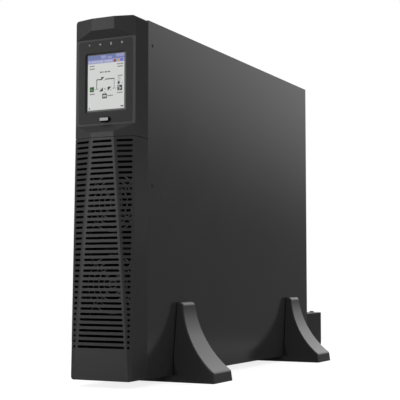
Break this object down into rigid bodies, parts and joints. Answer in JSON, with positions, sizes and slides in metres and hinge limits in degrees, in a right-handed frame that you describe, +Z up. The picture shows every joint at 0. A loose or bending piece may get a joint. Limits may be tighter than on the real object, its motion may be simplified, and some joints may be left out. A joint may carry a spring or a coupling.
{
  "type": "rack-tower uninterruptible power supply",
  "caption": "Black rack-tower uninterruptible power supply standing upright on swept plastic stands, with a faceted slotted front, small colour screen and power button.",
  "frame": {"origin": "on the floor under the middle of the whole unit's box", "axes": "+Z up, the slotted front faces -Y, the cover is on the +X side"},
  "size_m": [0.2038, 0.651, 0.4484],
  "materials": {
    "case_paint": "satin",
    "front_plastic": "matte",
    "overlay": "satin",
    "screen": "gloss",
    "light_guide": "gloss",
    "button_plastic": "satin",
    "black_plastic": "matte",
    "zinc_steel": "satin",
    "nickel": "gloss",
    "green_plastic": "satin",
    "grey_plastic": "satin"
  },
  "bodies": {
    "unit": {"chassis_tray": "case_paint", "chassis_cover": "case_paint", "front_plate": "zinc_steel", "rear_panel": "case_paint", "display_bezel": "front_plastic", "grille_cover": "front_plastic", "display_overlay": "overlay", "touchscreen": "screen", "status_lights": "light_guide", "button_well": "black_plastic", "front_stand_right": "front_plastic", "front_stand_left": "front_plastic", "rear_stand_right": "front_plastic", "rear_stand_left": "front_plastic", "fan_frame_upper": "black_plastic", "fan_frame_lower": "black_plastic", "fan_rotor_upper": "black_plastic", "fan_rotor_lower": "black_plastic", "card_slot_cover": "case_paint", "terminal_cover": "case_paint", "serial_port": "nickel", "usb_port": "nickel", "epo_connector": "green_plastic", "battery_connector": "grey_plastic", "input_breaker": "black_plastic", "breaker_lever": "black_plastic"},
    "button": {"power_button": "button_plastic"}
  },
  "joints": [
    {"name": "press_power_button", "type": "slide", "parent": "unit", "child": "button", "axis": [0, 1, 0], "range_m": [0, 0.0015], "stiffness_N_per_m": 400}
  ]
}
